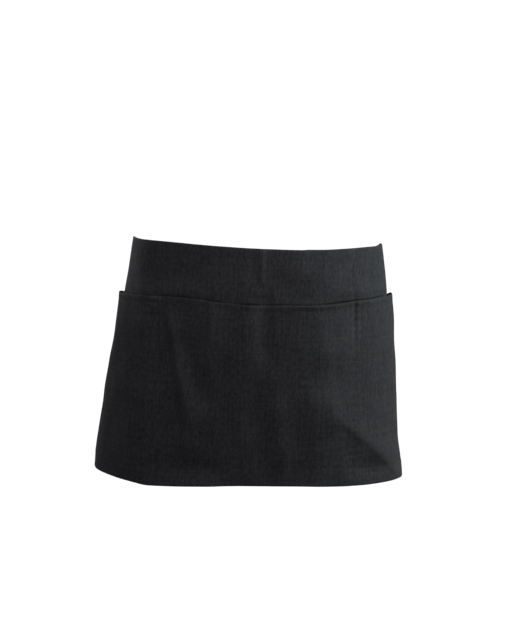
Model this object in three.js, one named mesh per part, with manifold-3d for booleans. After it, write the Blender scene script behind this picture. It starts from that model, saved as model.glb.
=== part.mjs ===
// A short waist apron of black twill with one wide patch pocket sewn across its lower part.
// It is shown as it hangs when tied on: the cloth keeps the round of the waist and its folds.
// Millimetres, +Z up. The front faces -Y and +X is the viewer's right.
// The origin is the middle of the waist at the height of the top edge.

import * as THREE from "three";
import { mergeVertices } from "three/addons/utils/BufferGeometryUtils.js";
import Module from "manifold-3d";

// Cloth sizes. "Across" is measured along the cloth from its middle, to the right.
// "Drop" is measured straight down from the top edge.
const APRON_WIDTH = 600;
const APRON_DROP = 300;
const CLOTH = 1.1;
const LAYER_GAP = 0.3;
const HEM_PLY = 0.7;
const TOP_HEM = 14;
const SIDE_HEM = 12;
const BOTTOM_HEM = 21;
const HEM_STEP = 0.8;

// Pocket sizes
const MOUTH_DROP = 66;
const MOUTH_HEM = 8;
const MOUTH_PLY = 0.5;
const POCKET_SEAM = 138;
const CREASE = 14;
const SAG_TOP = 20;
const SAG_FADE = 120;

// Waist ties and their knot
const TIE_WIDTH = 25;
const TIE_THICKNESS = 1.6;
const TIE_LAP = 30;
const TIE_GAP = 0.5;
const TIE_BELOW_EDGE = 2;
const KNOT_WIDTH = 34;
const KNOT_HEIGHT = 30;
const KNOT_DEPTH = 18;
const KNOT_ROUND = 5;
const TAIL_LENGTH = 125;
const TAIL_SPLAY = 9;

// Level cuts through the outer face of the body cloth: how far it reaches from the middle
// of the waist to the left, right and front, and how far the same round goes on behind.
const SECTIONS = [
  { drop: 0, left: 162, right: 162, front: 114, back: 106 },
  { drop: 67, left: 171, right: 170.5, front: 128, back: 116 },
  { drop: 127, left: 180.4, right: 176.6, front: 137, back: 124 },
  { drop: 192, left: 193.4, right: 182.8, front: 142.5, back: 130 },
  { drop: 244, left: 200, right: 184.8, front: 146, back: 134 },
  { drop: 272, left: 203.8, right: 187, front: 147.2, back: 135 },
  { drop: 300, left: 206.2, right: 190, front: 148, back: 136 },
];
const SQUARENESS = 2.2;
const HEM_DRIFT = -7.5;

// How far the cloth is drawn up or hangs low round the waist, at its top edge and at its hem.
// The angle is 0 in front and grows to the right; behind the hips the ties pull the edge down.
const EDGES = [
  { angle: -180, top: -19, hem: -15 },
  { angle: -150, top: -13.2, hem: -9 },
  { angle: -120, top: -7.2, hem: 0 },
  { angle: -105, top: -2.5, hem: 3.5 },
  { angle: -90, top: 2.6, hem: 5 },
  { angle: -75, top: 2.8, hem: 3 },
  { angle: -45, top: 3.4, hem: -3.3 },
  { angle: -35, top: 2.9, hem: -4.5 },
  { angle: -15, top: 1.1, hem: -1.9 },
  { angle: 0, top: -0.4, hem: -0.2 },
  { angle: 30, top: -1.2, hem: -1.4 },
  { angle: 60, top: -0.2, hem: -0.8 },
  { angle: 90, top: -2.2, hem: -2.4 },
  { angle: 103, top: -2.2, hem: -3 },
  { angle: 110, top: -7.6, hem: -3.4 },
  { angle: 120, top: -11, hem: -4 },
  { angle: 150, top: -16.5, hem: -10 },
  { angle: 180, top: -19, hem: -15 },
];

// Folds shared by both layers. Each runs straight on the cloth from one point to another,
// stands out by its height, and slopes away over its left and right widths.
const FOLD_FADE = 24;
const FOLDS = [
  { name: "band crease", fromAcross: 5, fromDrop: 0, toAcross: 8, toDrop: 40, height: 0.9,
    leftWidth: 6, rightWidth: 6 },
  { name: "left diagonal", fromAcross: -118, fromDrop: 84, toAcross: -79, toDrop: 207, height: 5,
    leftWidth: 9, rightWidth: 13 },
  { name: "left tail", fromAcross: -86, fromDrop: 205, toAcross: -78, toDrop: 262, height: 1.8,
    leftWidth: 9, rightWidth: 18 },
  { name: "left hollow", fromAcross: -84, fromDrop: 110, toAcross: -58, toDrop: 190, height: -2.6,
    leftWidth: 12, rightWidth: 16 },
  { name: "left roll", fromAcross: -140, fromDrop: 204, toAcross: -146, toDrop: 285, height: 1.6,
    leftWidth: 14, rightWidth: 9 },
  { name: "middle ridge", fromAcross: 25, fromDrop: 150, toAcross: 36, toDrop: 226, height: 1.7,
    leftWidth: 10, rightWidth: 12 },
  { name: "middle hollow", fromAcross: 8, fromDrop: 195, toAcross: 14, toDrop: 275, height: -1.6,
    leftWidth: 10, rightWidth: 10 },
  { name: "corner diagonal", fromAcross: 96, fromDrop: 204, toAcross: 232, toDrop: 296, height: 5.4,
    leftWidth: 15, rightWidth: 30 },
  { name: "corner hollow", fromAcross: 140, fromDrop: 264, toAcross: 205, toDrop: 291, height: -1.6,
    leftWidth: 16, rightWidth: 14 },
  { name: "corner swell", fromAcross: 112, fromDrop: 225, toAcross: 120, toDrop: 290, height: 1.4,
    leftWidth: 22, rightWidth: 40 },
];

// Where the pocket's mouth lies on the cloth: it sags between the seams that hold it up.
const MOUTH_LINE = [
  { across: -300, drop: 74 },
  { across: -230, drop: 73.6 },
  { across: -190, drop: 72.6 },
  { across: -160, drop: 69 },
  { across: -138, drop: 66.4 },
  { across: -95, drop: 66 },
  { across: -47, drop: 69.3 },
  { across: 0, drop: 71.4 },
  { across: 70, drop: 71.7 },
  { across: 105, drop: 67.4 },
  { across: 138, drop: 65.3 },
  { across: 190, drop: 63.8 },
  { across: 240, drop: 64.5 },
  { across: 300, drop: 66 },
];

// How far the pocket stands away from the body cloth. Each bulge spans a stretch of the
// mouth, is widest in its middle, and closes at the drop where that pocket ends: a closing
// above 1 keeps the pocket open further down.
const BULGES = [
  { name: "left pocket", from: -300, to: -138, bottom: 198, mouth: 5.8, closing: 1.5 },
  { name: "centre pocket left", from: -138, to: -34, bottom: 279, mouth: 8, closing: 0.9 },
  { name: "centre pocket middle", from: -34, to: 14, bottom: 230, mouth: 2.6, closing: 0.9 },
  { name: "centre pocket right", from: 14, to: 138, bottom: 279, mouth: 11, closing: 0.9 },
  { name: "right pocket", from: 138, to: 300, bottom: 183, mouth: 5.8, closing: 1.5 },
];

const TWILL = { color: 0x2b2b2e, roughness: 0.92, metalness: 0 };
const TIE_TWILL = { color: 0x29292c, roughness: 0.92, metalness: 0 };

const radians = THREE.MathUtils.degToRad;

// A column of a table at any place along its key column, as a smooth curve through the rows.
function smoothValue(table, key, column, place) {
  const last = table.length - 2;
  const above = table.findIndex((row) => row[key] > place) - 1;
  const i = above === -2 ? last : Math.max(above, 0);
  const slopeAt = (k) => {
    const before = table[Math.max(k - 1, 0)];
    const after = table[Math.min(k + 1, table.length - 1)];
    return (after[column] - before[column]) / (after[key] - before[key]);
  };
  const step = table[i + 1][key] - table[i][key];
  const t = (place - table[i][key]) / step;
  const rise = t * t * (3 - 2 * t);
  const start = table[i][column];
  const end = table[i + 1][column];
  const bend = t * (1 - t) * (1 - t) * slopeAt(i) - t * t * (1 - t) * slopeAt(i + 1);
  return start + (end - start) * rise + bend * step;
}

// The sizes of one level cut, and the cloth's middle line on it.
function levelCut(drop) {
  return {
    drop,
    left: smoothValue(SECTIONS, "drop", "left", drop),
    right: smoothValue(SECTIONS, "drop", "right", drop),
    front: smoothValue(SECTIONS, "drop", "front", drop),
    back: smoothValue(SECTIONS, "drop", "back", drop),
    middle: (HEM_DRIFT * drop) / APRON_DROP,
  };
}

// A point on a level cut. The angle is 0 at the front and a quarter turn at the right hip.
function cutPoint(cut, angle) {
  const sine = Math.sin(angle);
  const cosine = Math.cos(angle);
  const power = 2 / SQUARENESS;
  const reach = sine > 0 ? cut.right : cut.left;
  const depth = cosine > 0 ? cut.front : cut.back;
  const x = reach * Math.sign(sine) * Math.abs(sine) ** power;
  const y = -depth * Math.sign(cosine) * Math.abs(cosine) ** power;
  return new THREE.Vector2(x, y);
}

// How far the cloth is lifted or lowered at an angle round the waist.
function edgeLift(angle, drop) {
  const degrees = THREE.MathUtils.radToDeg(angle);
  const top = smoothValue(EDGES, "angle", "top", degrees);
  const hem = smoothValue(EDGES, "angle", "hem", degrees);
  return top + ((hem - top) * drop) / APRON_DROP;
}

// A point of the cloth at an angle round a level cut, moved outwards by an offset.
function pointAtAngle(cut, angle, offset) {
  const step = radians(0.5);
  const point = cutPoint(cut, angle);
  const along = cutPoint(cut, angle + step).sub(cutPoint(cut, angle - step)).normalize();
  const z = edgeLift(angle, cut.drop) - cut.drop;
  return new THREE.Vector3(point.x + along.y * offset, point.y - along.x * offset, z);
}

// Walks round a level cut and gives the angle at any distance across the cloth.
function acrossWalk(cut) {
  const steps = 720;
  const angles = [];
  const lengths = [];
  let length = 0;
  let previous = null;
  let middleLength = 0;
  for (let i = 0; i <= steps; i += 1) {
    const angle = -Math.PI + (2 * Math.PI * i) / steps;
    const point = cutPoint(cut, angle);
    if (previous) {
      const stride = point.distanceTo(previous);
      const crossesMiddle = point.y < 0 && previous.x <= cut.middle && point.x > cut.middle;
      if (crossesMiddle) {
        middleLength = length + (stride * (cut.middle - previous.x)) / (point.x - previous.x);
      }
      length += stride;
    }
    angles.push(angle);
    lengths.push(length);
    previous = point;
  }
  return (across) => {
    const wanted = across + middleLength;
    let i = lengths.findIndex((value) => value > wanted) - 1;
    i = Math.min(Math.max(i, 0), steps - 1);
    const share = (wanted - lengths[i]) / (lengths[i + 1] - lengths[i]);
    return angles[i] + share * (angles[i + 1] - angles[i]);
  };
}

// How far the folds push the cloth out at a place on it.
function foldHeight(across, drop) {
  let height = 0;
  for (const fold of FOLDS) {
    const runAcross = fold.toAcross - fold.fromAcross;
    const runDrop = fold.toDrop - fold.fromDrop;
    const length = Math.hypot(runAcross, runDrop);
    const startAcross = across - fold.fromAcross;
    const startDrop = drop - fold.fromDrop;
    const along = (startAcross * runAcross + startDrop * runDrop) / length;
    const aside = (startAcross * runDrop - startDrop * runAcross) / length;
    const beyond = Math.max(0, -along, along - length) / FOLD_FADE;
    const slope = aside / (aside > 0 ? fold.rightWidth : fold.leftWidth);
    height += fold.height * Math.exp(-slope * slope - beyond * beyond);
  }
  return height;
}

// The drop of a place that is measured down as if the pocket's mouth were level: the sag of the
// mouth line is added, and fades out above and below it.
function dropAt(across, down) {
  const sag = smoothValue(MOUTH_LINE, "across", "drop", across) - MOUTH_DROP;
  const above = (down - SAG_TOP) / (MOUTH_DROP - SAG_TOP);
  const below = 1 - (down - MOUTH_DROP) / SAG_FADE;
  const share = Math.max(0, down < MOUTH_DROP ? above : below);
  return down + sag * share * share;
}

// How far the pocket stands away from the body cloth at a place on it.
function pocketBulge(across, down) {
  let bulge = 0;
  for (const row of BULGES) {
    if (across <= row.from || across >= row.to) continue;
    const swell = Math.sin((Math.PI * (across - row.from)) / (row.to - row.from)) ** 1.5;
    const closed = Math.min(Math.max((down - MOUTH_DROP) / (row.bottom - MOUTH_DROP), 0), 1);
    bulge += row.mouth * swell * (1 - closed ** row.closing);
  }
  return bulge;
}

// Evenly spaced lines from the first to the last of each pair of key lines.
function linesThrough(keys, spacing) {
  const lines = [keys[0]];
  for (let i = 1; i < keys.length; i += 1) {
    const span = keys[i] - keys[i - 1];
    const count = Math.max(1, Math.round(span / spacing));
    for (let k = 1; k <= count; k += 1) lines.push(keys[i - 1] + (span * k) / count);
  }
  return lines;
}

// A closed shell over a grid of across lines and drop lines, with an outer and an inner face.
function shellGeometry(acrossLines, dropLines, pointOn) {
  const columns = acrossLines.length;
  const rows = dropLines.length;
  const positions = [];
  for (const face of ["outer", "inner"]) {
    for (const drop of dropLines) {
      for (const across of acrossLines) positions.push(...pointOn(across, drop, face).toArray());
    }
  }
  const outer = (row, column) => row * columns + column;
  const inner = (row, column) => (rows + row) * columns + column;
  const triangles = [];
  const quad = (a, b, c, d) => triangles.push(a, b, c, a, c, d);
  for (let row = 0; row < rows - 1; row += 1) {
    for (let column = 0; column < columns - 1; column += 1) {
      quad(outer(row, column), outer(row + 1, column), outer(row + 1, column + 1), outer(row, column + 1));
      quad(inner(row, column), inner(row, column + 1), inner(row + 1, column + 1), inner(row + 1, column));
    }
  }
  const low = rows - 1;
  const far = columns - 1;
  for (let column = 0; column < far; column += 1) {
    quad(outer(0, column), outer(0, column + 1), inner(0, column + 1), inner(0, column));
    quad(outer(low, column + 1), outer(low, column), inner(low, column), inner(low, column + 1));
  }
  for (let row = 0; row < low; row += 1) {
    quad(outer(row + 1, 0), outer(row, 0), inner(row, 0), inner(row + 1, 0));
    quad(outer(row, far), outer(row + 1, far), inner(row + 1, far), inner(row, far));
  }
  const geometry = new THREE.BufferGeometry();
  geometry.setAttribute("position", new THREE.Float32BufferAttribute(positions, 3));
  geometry.setIndex(triangles);
  geometry.computeVertexNormals();
  return geometry;
}

// Level cuts and walks are worked out once for each drop line.
const levels = new Map();
function levelAt(drop) {
  if (!levels.has(drop)) {
    const cut = levelCut(drop);
    levels.set(drop, { cut, angleAt: acrossWalk(cut) });
  }
  return levels.get(drop);
}

function clothPoint(across, drop, offset) {
  const level = levelAt(drop);
  return pointAtAngle(level.cut, level.angleAt(across), offset);
}

// Body cloth: one layer with its top, side and bottom hems turned to the inside.
// Both layers share their lines below the mouth, so that their faces stay parallel.
const halfWidth = APRON_WIDTH / 2;
const sideLine = halfWidth - SIDE_HEM;
const hemLine = APRON_DROP - BOTTOM_HEM;
const mouthLine = MOUTH_DROP + MOUTH_HEM;
const acrossLines = linesThrough([-halfWidth, -sideLine, -sideLine + HEM_STEP, -POCKET_SEAM, CREASE,
  POCKET_SEAM, sideLine - HEM_STEP, sideLine, halfWidth], 9.4);
const bandLines = linesThrough([0, TOP_HEM, TOP_HEM + HEM_STEP, MOUTH_DROP], 17);
const pocketLines = linesThrough([MOUTH_DROP, mouthLine, mouthLine + HEM_STEP, hemLine - HEM_STEP, hemLine,
  APRON_DROP], 15.6);
function bodyPoint(across, down, face) {
  const inHem = down <= TOP_HEM || down >= hemLine || Math.abs(across) >= sideLine;
  const wall = inHem ? CLOTH + HEM_PLY : CLOTH;
  const drop = dropAt(across, down);
  const offset = foldHeight(across, drop) - (face === "inner" ? wall : 0);
  return clothPoint(across, drop, offset);
}
const bodyGeometry = shellGeometry(acrossLines, [...bandLines, ...pocketLines.slice(1)], bodyPoint);

// Pocket cloth: one patch over the lower part, flat on the body at its sides, seams and hem.
function pocketPoint(across, down, face) {
  const inHem = down <= mouthLine || down >= hemLine;
  const wall = inHem ? CLOTH + MOUTH_PLY : CLOTH;
  const away = LAYER_GAP + pocketBulge(across, down) + (face === "outer" ? wall : 0);
  const drop = dropAt(across, down);
  return clothPoint(across, drop, foldHeight(across, drop) + away);
}
const pocketGeometry = shellGeometry(acrossLines, pocketLines, pocketPoint);

// Waist ties: flat strips lapped inside the top corners and led round to the knot behind.
const tieDrops = linesThrough([TIE_BELOW_EDGE, TIE_BELOW_EDGE + TIE_WIDTH], 8.4);
const tieMiddleDrop = TIE_BELOW_EDGE + TIE_WIDTH / 2;
const tieOuterOffset = -(CLOTH + HEM_PLY + TIE_GAP);
const knotReach = (KNOT_WIDTH / 2 + LAYER_GAP) / levelCut(tieMiddleDrop).right;
const knotAngle = Math.PI - Math.asin(knotReach ** (SQUARENESS / 2));
function tiePoint(angle, drop, face) {
  const offset = tieOuterOffset - (face === "inner" ? TIE_THICKNESS : 0);
  return pointAtAngle(levelAt(drop).cut, angle, offset);
}
const lapAngle = levelAt(tieMiddleDrop).angleAt(halfWidth - TIE_LAP);
const lapAngleLeft = levelAt(tieMiddleDrop).angleAt(-halfWidth + TIE_LAP);
const rightTieGeometry = shellGeometry(linesThrough([lapAngle, knotAngle], radians(4)), tieDrops, tiePoint);
const leftTieGeometry = shellGeometry(linesThrough([-knotAngle, lapAngleLeft], radians(4)), tieDrops, tiePoint);

// Knot: a rounded lump that both ties run into, with their two ends hanging from it.
const wasm = await Module();
wasm.setup();
function toSolid(geometry) {
  const bare = geometry.clone();
  bare.deleteAttribute("normal");
  bare.deleteAttribute("uv");
  const merged = mergeVertices(bare, 1e-4);
  const vertProperties = new Float32Array(merged.attributes.position.array);
  const triVerts = new Uint32Array(merged.index.array);
  return new wasm.Manifold(new wasm.Mesh({ numProp: 3, vertProperties, triVerts }));
}
function toGeometry(solid) {
  const mesh = solid.getMesh();
  const geometry = new THREE.BufferGeometry();
  geometry.setAttribute("position", new THREE.Float32BufferAttribute(mesh.vertProperties, 3));
  geometry.setIndex([...mesh.triVerts]);
  geometry.computeVertexNormals();
  return geometry;
}
function lumpGeometry() {
  const halfHeight = KNOT_HEIGHT / 2 - KNOT_ROUND;
  const halfDepth = KNOT_DEPTH / 2 - KNOT_ROUND;
  const corner = 3.5;
  const outline = new THREE.Shape();
  outline.moveTo(-halfDepth + corner, -halfHeight);
  outline.lineTo(halfDepth - corner, -halfHeight);
  outline.quadraticCurveTo(halfDepth, -halfHeight, halfDepth, -halfHeight + corner);
  outline.lineTo(halfDepth, halfHeight - corner);
  outline.quadraticCurveTo(halfDepth, halfHeight, halfDepth - corner, halfHeight);
  outline.lineTo(-halfDepth + corner, halfHeight);
  outline.quadraticCurveTo(-halfDepth, halfHeight, -halfDepth, halfHeight - corner);
  outline.lineTo(-halfDepth, -halfHeight + corner);
  outline.quadraticCurveTo(-halfDepth, -halfHeight, -halfDepth + corner, -halfHeight);
  const length = KNOT_WIDTH - 2 * KNOT_ROUND;
  const geometry = new THREE.ExtrudeGeometry(outline, {
    depth: length,
    bevelEnabled: true,
    bevelThickness: KNOT_ROUND,
    bevelSize: KNOT_ROUND,
    bevelSegments: 4,
    curveSegments: 4,
  });
  geometry.translate(0, 0, -length / 2);
  geometry.rotateX(Math.PI / 2);
  geometry.rotateZ(Math.PI / 2);
  return geometry;
}
function tailGeometry(side) {
  const geometry = new THREE.BoxGeometry(TIE_WIDTH, TIE_THICKNESS, TAIL_LENGTH);
  geometry.translate(0, 0, -TAIL_LENGTH / 2);
  geometry.rotateY(-side * radians(TAIL_SPLAY));
  geometry.translate(side * 2.5, side * 2.2, 0);
  return geometry;
}
const knotSolid = toSolid(lumpGeometry()).add(toSolid(tailGeometry(-1))).add(toSolid(tailGeometry(1)));
const knotGeometry = toGeometry(knotSolid);

function piece(name, geometry, look) {
  const mesh = new THREE.Mesh(geometry, new THREE.MeshStandardMaterial(look));
  mesh.name = name;
  return mesh;
}

const apron = new THREE.Group();
apron.name = "apron";
apron.add(piece("front_panel", bodyGeometry, TWILL));
apron.add(piece("pocket_panel", pocketGeometry, TWILL));

const ties = new THREE.Group();
ties.name = "ties";
ties.add(piece("tie_left", leftTieGeometry, TIE_TWILL));
ties.add(piece("tie_right", rightTieGeometry, TIE_TWILL));
const knot = piece("tie_knot", knotGeometry, TIE_TWILL);
const knotSeat = tiePoint(Math.PI, tieMiddleDrop, "outer");
knot.position.set(0, knotSeat.y + 1, knotSeat.z);
ties.add(knot);
apron.add(ties);

export default apron;
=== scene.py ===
"""A short black waist apron with a wide divided patch pocket, tied on and hanging in soft folds."""

import math

import bpy
import numpy as np
from mathutils import Matrix


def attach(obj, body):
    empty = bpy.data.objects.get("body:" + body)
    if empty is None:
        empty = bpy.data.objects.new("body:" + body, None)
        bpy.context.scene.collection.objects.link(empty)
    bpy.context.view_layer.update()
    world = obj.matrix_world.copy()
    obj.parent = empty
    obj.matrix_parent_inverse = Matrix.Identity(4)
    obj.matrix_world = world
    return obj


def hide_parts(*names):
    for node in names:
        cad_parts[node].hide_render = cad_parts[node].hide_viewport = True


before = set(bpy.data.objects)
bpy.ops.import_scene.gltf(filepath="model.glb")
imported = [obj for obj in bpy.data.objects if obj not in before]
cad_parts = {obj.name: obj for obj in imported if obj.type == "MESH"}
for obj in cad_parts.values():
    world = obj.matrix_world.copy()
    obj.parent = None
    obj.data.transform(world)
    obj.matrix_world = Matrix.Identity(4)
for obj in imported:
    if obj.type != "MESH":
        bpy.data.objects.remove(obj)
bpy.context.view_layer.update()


# Body of the apron: one rectangle of black cotton twill, turned in and stitched along its top,
# sides and hem. Tied on, it wraps the front of the waist, flares over the hips and hangs in soft
# folds. Sizes are in millimetres, across the cloth from its middle and down from its top edge.
apron_width = 600.0
apron_drop = 300.0
body_wall = 0.9
hem_ply = 0.8
hem_step = 1.2
top_hem = 14.0
side_hem = 12.0
bottom_hem = 21.0
row_inset = 2.0
hem_drift = -7.5
squareness = 2.2
half_width = apron_width / 2
hem_line = apron_drop - bottom_hem
top_row = top_hem - row_inset
side_row = half_width - side_hem + row_inset

# How far the body cloth reaches from the middle of the waist: drop, left, right, front, back
waist_table = np.array([
    (0.0, 162.0, 162.0, 114.0, 106.0),
    (67.0, 171.0, 170.5, 128.0, 116.0),
    (127.0, 180.4, 176.6, 137.0, 124.0),
    (192.0, 193.4, 182.8, 142.5, 130.0),
    (244.0, 200.0, 185.4, 146.0, 134.0),
    (272.0, 203.8, 190.0, 147.2, 135.0),
    (300.0, 206.2, 192.5, 148.0, 136.0),
])

# How the cloth is drawn up or hangs low round the waist: angle in degrees, lift of the top edge,
# lift of the hem. Behind the hips the ties pull it down.
edge_table = np.array([
    (-180.0, -19.0, -15.0),
    (-150.0, -13.2, -9.0),
    (-120.0, -7.2, 0.0),
    (-105.0, -2.5, 3.5),
    (-90.0, 2.6, 5.0),
    (-75.0, 2.7, 3.0),
    (-60.0, 3.5, 0.2),
    (-45.0, 3.4, -3.3),
    (-35.0, 2.9, -4.5),
    (-15.0, 1.1, -1.9),
    (0.0, -0.5, -0.2),
    (15.0, -1.3, -0.2),
    (30.0, -1.3, -1.4),
    (45.0, -0.7, -1.6),
    (60.0, -0.2, -0.8),
    (75.0, -0.8, -0.4),
    (90.0, -1.8, -2.4),
    (96.0, -1.6, -2.7),
    (103.0, -5.0, -3.0),
    (110.0, -8.6, -3.4),
    (120.0, -11.4, -4.0),
    (150.0, -16.5, -10.0),
    (180.0, -19.0, -15.0),
])

# Folds that both layers share, named from left to right: from across, from drop, to across,
# to drop, height, width on the left, width on the right, length of the fading ends
fold_table = np.array([
    (-145, 106, -138, 175, 5.2, 30, 12, 18),   # upper left roll
    (-142, 200, -138, 280, 7.0, 35, 19, 25),   # lower left roll
    (-141.5, 195, -140, 285, 1.8, 4, 7, 20),   # crest of the lower left roll
    (-138.2, 71, -138.2, 84, 3.0, 2, 2, 3),    # left pucker of the left seam
    (-133.6, 71, -133.6, 86, 3.0, 2, 2, 3),    # middle pucker of the left seam
    (-128.8, 71, -128.8, 83, 2.0, 2, 3, 3),    # right pucker of the left seam
    (-100, 205, -98, 250, -3.2, 14, 11, 20),   # hollow between roll and tail
    (-109, 80, -107, 105, 1.2, 5, 12, 15),     # head of the left diagonal
    (-108, 97, -84, 198, 5.8, 7.5, 12, 20),    # left diagonal
    (-103, 112, -86, 182, 1.0, 4, 6, 12),      # crest of the left diagonal
    (-84, 222, -81, 245, 2.4, 8, 14, 18),      # tail of the left diagonal
    (-90, 122, -57, 190, -3.8, 13, 14, 12),    # hollow beside the left diagonal
    (-57, 78, -56, 110, 2.2, 3, 13, 10),       # upright crease
    (-130, 277, -45, 277, -1.8, 9, 12, 14),    # hollow above the hem
    (-125, 303, -48, 303, 6.4, 12, 14, 14),    # kick of the hem
    (-10, 66, -6, 128, 0.6, 18, 14, 18),       # swell beside the middle hollow
    (17, 66, 18, 122, -1.9, 14, 6, 12),        # upper middle hollow
    (28, 172, 42, 262, 1.8, 12, 12, 25),       # middle ridge
    (8, 205, 20, 280, -1.0, 14, 14, 20),       # lower middle hollow
    (84, 196, 95, 250, 3.6, 22, 28, 20),       # corner swell
    (113, 212, 215, 283, 4.2, 20, 26, 25),     # corner diagonal
    (125, 223, 212, 285, 1.3, 5, 11, 15),      # crest of the corner diagonal
    (165, 281, 240, 279, -3.2, 10, 16, 25),    # corner hollow
    (134.5, 60, 134.5, 95, -1.3, 2.4, 3, 18),  # pull of the right seam
    (100, 128, 135, 124, 1.6, 18, 20, 20),     # swell beside the right seam
    (160, 72, 172, 120, 1.5, 14, 10, 30),      # right roll
])

# Creases of the band above the pocket, in the same columns
band_table = np.array([
    (-120, 60, -70, 60, 1.0, 5, 10, 12),       # left fall into the mouth
    (-64, 38, -52, 62, 1.0, 8, 16, 12),        # left slant
    (-112, -10, -108, 36, -4.0, 50, 60, 20),   # left hollow
    (-10, 40, 4, 66, 0.8, 14, 10, 14),         # middle slant
    (5, 2, 6, 36, 2.0, 2.2, 5, 8),             # upright crease under the top hem
    (62, -10, 58, 20, 4.5, 36, 36, 26),        # upright swell
    (115, 58, 200, 56, 1.0, 4, 12, 15),        # right fall into the mouth
])

# Drops between which the shared folds grow in below the band, and the band's creases die away
fold_growth = (36.0, 68.0)
crease_end = (66.0, 52.0)


def smooth_rows(table, place):
    """The table's columns at each place along its first one: a cubic curve through the rows,
    whose slope at a row is the slope between that row's two neighbours."""
    rows, values = table[:, 0], table[:, 1:]
    order = np.arange(len(rows))
    before, after = np.maximum(order - 1, 0), np.minimum(order + 1, len(rows) - 1)
    slope = (values[after] - values[before]) / (rows[after] - rows[before])[:, None]
    i = np.clip(np.searchsorted(rows, place, side="right") - 1, 0, len(rows) - 2)
    step = (rows[i + 1] - rows[i])[..., None]
    t = (np.asarray(place)[..., None] - rows[i][..., None]) / step
    rise = t * t * (3 - 2 * t)
    bend = t * (1 - t) ** 2 * slope[i] - t * t * (1 - t) * slope[i + 1]
    return values[i] + (values[i + 1] - values[i]) * rise + bend * step


def cut_points(reach, angle):
    """Points on a level cut, a rounded oblong: each reach times the sine or cosine of the angle,
    raised to a power a little under 1. The angle is 0 in front and grows to the right."""
    sine, cosine = np.sin(angle), np.cos(angle)
    power = 2 / squareness
    side = np.where(sine > 0, reach[..., 1], reach[..., 0])
    depth = np.where(cosine > 0, reach[..., 2], reach[..., 3])
    x = side * np.sign(sine) * np.abs(sine) ** power
    y = -depth * np.sign(cosine) * np.abs(cosine) ** power
    return x, y


# The angle at which each place across the cloth lies, for a ladder of drops: the length of each
# level cut is summed in quarter degrees from the cloth's middle line and read backwards. The ladder
# has a rung every 3 mm down and a mark every 2 mm across, and reaches a little past the cloth.
ladder_drop = np.linspace(-6.0, apron_drop + 6.0, 105)
ladder_across = np.linspace(-half_width - 30.0, half_width + 30.0, 331)
turn = np.radians(np.linspace(-180.0, 180.0, 1441))
ladder_x, ladder_y = cut_points(smooth_rows(waist_table, ladder_drop)[:, None, :], turn)
stride = np.hypot(np.diff(ladder_x, axis=1), np.diff(ladder_y, axis=1))
walked = np.concatenate([np.zeros((len(ladder_drop), 1)), np.cumsum(stride, axis=1)], axis=1)
in_front = np.abs(turn) < math.pi / 2
middle_x = hem_drift * ladder_drop / apron_drop
ladder_angle = np.stack([
    np.interp(ladder_across + np.interp(mid, x[in_front], length[in_front]), length, turn)
    for mid, x, length in zip(middle_x, ladder_x, walked)
])


def angle_across(across, drop):
    """Angle round the waist of a place on the cloth, read between the four nearest ladder places."""
    row = (drop - ladder_drop[0]) / (ladder_drop[1] - ladder_drop[0])
    column = (across - ladder_across[0]) / (ladder_across[1] - ladder_across[0])
    i = np.clip(row.astype(int), 0, len(ladder_drop) - 2)
    k = np.clip(column.astype(int), 0, len(ladder_across) - 2)
    v, u = row - i, column - k
    upper = ladder_angle[i, k] * (1 - u) + ladder_angle[i, k + 1] * u
    lower = ladder_angle[i + 1, k] * (1 - u) + ladder_angle[i + 1, k + 1] * u
    return upper * (1 - v) + lower * v


def edge_lift(angle, drop):
    """Rise of the cloth at an angle, passing evenly from the top edge's lift to the hem's."""
    lift = smooth_rows(edge_table, np.degrees(angle))
    share = drop / apron_drop
    return lift[..., 0] * (1 - share) + lift[..., 1] * share


def cloth_at_angle(angle, drop, offset):
    """Place of the cloth: the point of its level cut, pushed out along the cut's normal by the
    offset, at the drop below the top edge and lifted with the edge."""
    reach, step = smooth_rows(waist_table, drop), math.radians(0.5)
    x, y = cut_points(reach, angle)
    x0, y0 = cut_points(reach, angle - step)
    x1, y1 = cut_points(reach, angle + step)
    run = np.hypot(x1 - x0, y1 - y0)
    z = edge_lift(angle, drop) - drop
    return np.stack([x + (y1 - y0) / run * offset, y - (x1 - x0) / run * offset, z], axis=-1)


def cloth(across, drop, offset):
    """Place of the cloth at a distance across it and down it, pushed out by the offset."""
    return cloth_at_angle(angle_across(across, drop), drop, offset)


def ridges(across, drop, table):
    """Sum of straight ridges on the cloth. Each is a bell curve over the distance to its line,
    with its own width on either side, and fades as a bell curve beyond its two ends."""
    a, d = across[..., None], drop[..., None]
    from_a, from_d, to_a, to_d, height, left, right, fade = table.T
    run_a, run_d = to_a - from_a, to_d - from_d
    length = np.hypot(run_a, run_d)
    along = ((a - from_a) * run_a + (d - from_d) * run_d) / length
    aside = ((a - from_a) * run_d - (d - from_d) * run_a) / length
    beyond = np.maximum(0, np.maximum(-along, along - length)) / fade
    slope = aside / np.where(aside > 0, right, left)
    return np.sum(height * np.exp(-slope ** 2 - beyond ** 2), axis=-1)


def eased(value, start, end):
    """Smooth step from 0 at the start to 1 at the end."""
    t = np.clip((value - start) / (end - start), 0, 1)
    return t * t * (3 - 2 * t)


def folds(across, drop):
    """Height of the shared folds, which die away above the pocket's mouth."""
    return ridges(across, drop, fold_table) * eased(drop, *fold_growth)


# Waves of the slack cloth: height, run across and run down in which the wave turns by a radian,
# phase, and the same two runs and phase of the slow swell that it is multiplied by
steady = (np.inf, np.inf, math.pi / 2)
slack_table = np.array([
    (0.30, 8.6, 31.0, 1.2, np.inf, 37.0, 0.4),
    (0.26, 5.4, -24.0, 0.0, 47.0, np.inf, 2.0),
    (0.24, 13.0, 12.0, 0.7, *steady),
    (0.16, 21.0, -7.4, 2.6, *steady),
])
slack_at_waist = 0.45
slack_growth = 120.0


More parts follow.
